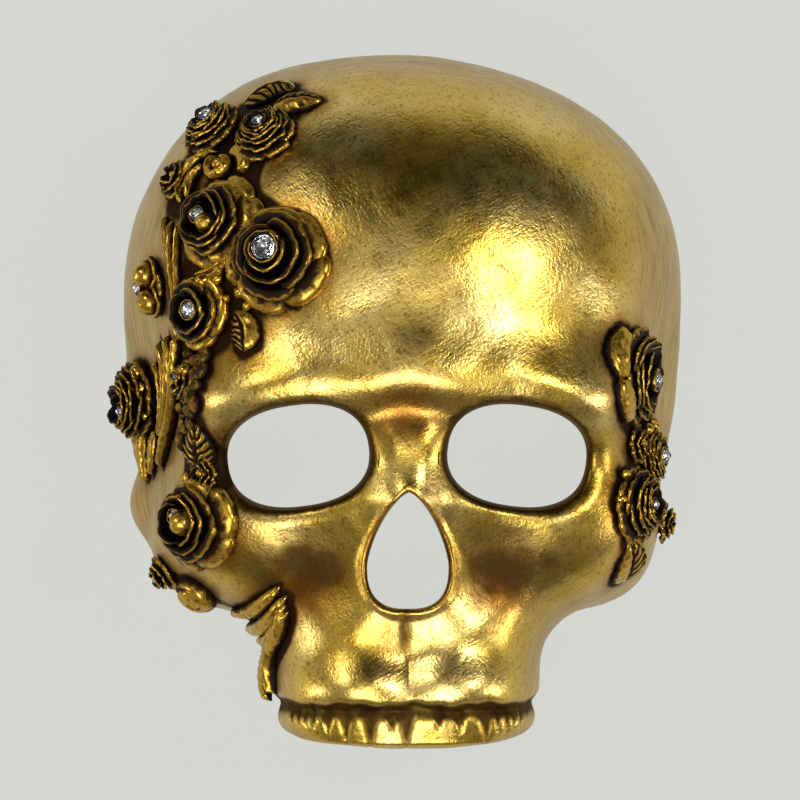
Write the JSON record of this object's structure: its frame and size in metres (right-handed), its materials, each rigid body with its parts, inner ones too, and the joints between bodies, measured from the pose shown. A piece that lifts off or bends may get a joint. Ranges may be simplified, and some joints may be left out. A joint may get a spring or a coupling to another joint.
{
  "type": "venetian skull mask",
  "caption": "Hollow gold-leafed papier-mache skull mask with cast roses, leaves and clear crystals along both temples, open at the eyes and nose.",
  "frame": {"origin": "middle of the mask's box in plan, on the plane of the crown and temple rim that the mask lies on", "axes": "+Z out of the face, +Y up the face to the crown, +X to the right of someone who looks at the face"},
  "size_m": [0.18, 0.2138, 0.0871],
  "materials": {
    "gold_leaf": "gold leaf rubbed over papier-mache, soft gloss with fine scratches and brown patina in the hollows",
    "antique_gold": "gilt resin casting with black patina in the recesses and bright rubbed edges",
    "crystal": "clear cut crystal with a silvered back"
  },
  "bodies": {
    "root": {"mask_shell": "gold_leaf", "rose_forehead": "antique_gold", "crystal_rose_forehead": "crystal", "rose_temple_top": "antique_gold", "crystal_rose_temple_top": "crystal", "rose_temple_middle": "antique_gold", "crystal_rose_temple_middle": "crystal", "rose_cheek_left": "antique_gold", "crystal_rose_cheek_left": "crystal", "rose_temple_low": "antique_gold", "crystal_rose_temple_low": "crystal", "rose_crown_left": "antique_gold", "crystal_rose_crown_left": "crystal", "rose_crown_right": "antique_gold", "crystal_rose_crown_right": "crystal", "rose_brow_right": "antique_gold", "crystal_rose_brow_right": "crystal", "rose_eye_right": "antique_gold", "crystal_rose_eye_right": "crystal", "rose_cheek_right": "antique_gold", "crystal_rose_cheek_right": "crystal", "flower_crown": "antique_gold", "flower_temple": "antique_gold", "crystal_flower_temple": "crystal", "flower_cheek": "antique_gold", "flower_brow_right": "antique_gold", "bud_temple": "antique_gold", "crystal_bud_temple": "crystal", "bud_cheek": "antique_gold", "crystal_bud_cheek": "crystal", "bud_cheek_right": "antique_gold", "curl_cheek": "antique_gold", "leaf_crown_left": "antique_gold", "leaf_crown_right": "antique_gold", "leaf_forehead": "antique_gold", "leaf_eye_left": "antique_gold", "leaf_brow_right": "antique_gold", "leaf_cheek_right": "antique_gold", "leaf_temple_low": "antique_gold", "leaf_hanging_top": "antique_gold", "leaf_hanging_low": "antique_gold", "scroll_crown": "antique_gold", "scroll_temple_top": "antique_gold", "scroll_temple_low": "antique_gold", "ribbon_cheek": "antique_gold", "stem_temple": "antique_gold", "plume_temple": "antique_gold"}
  },
  "joints": []
}
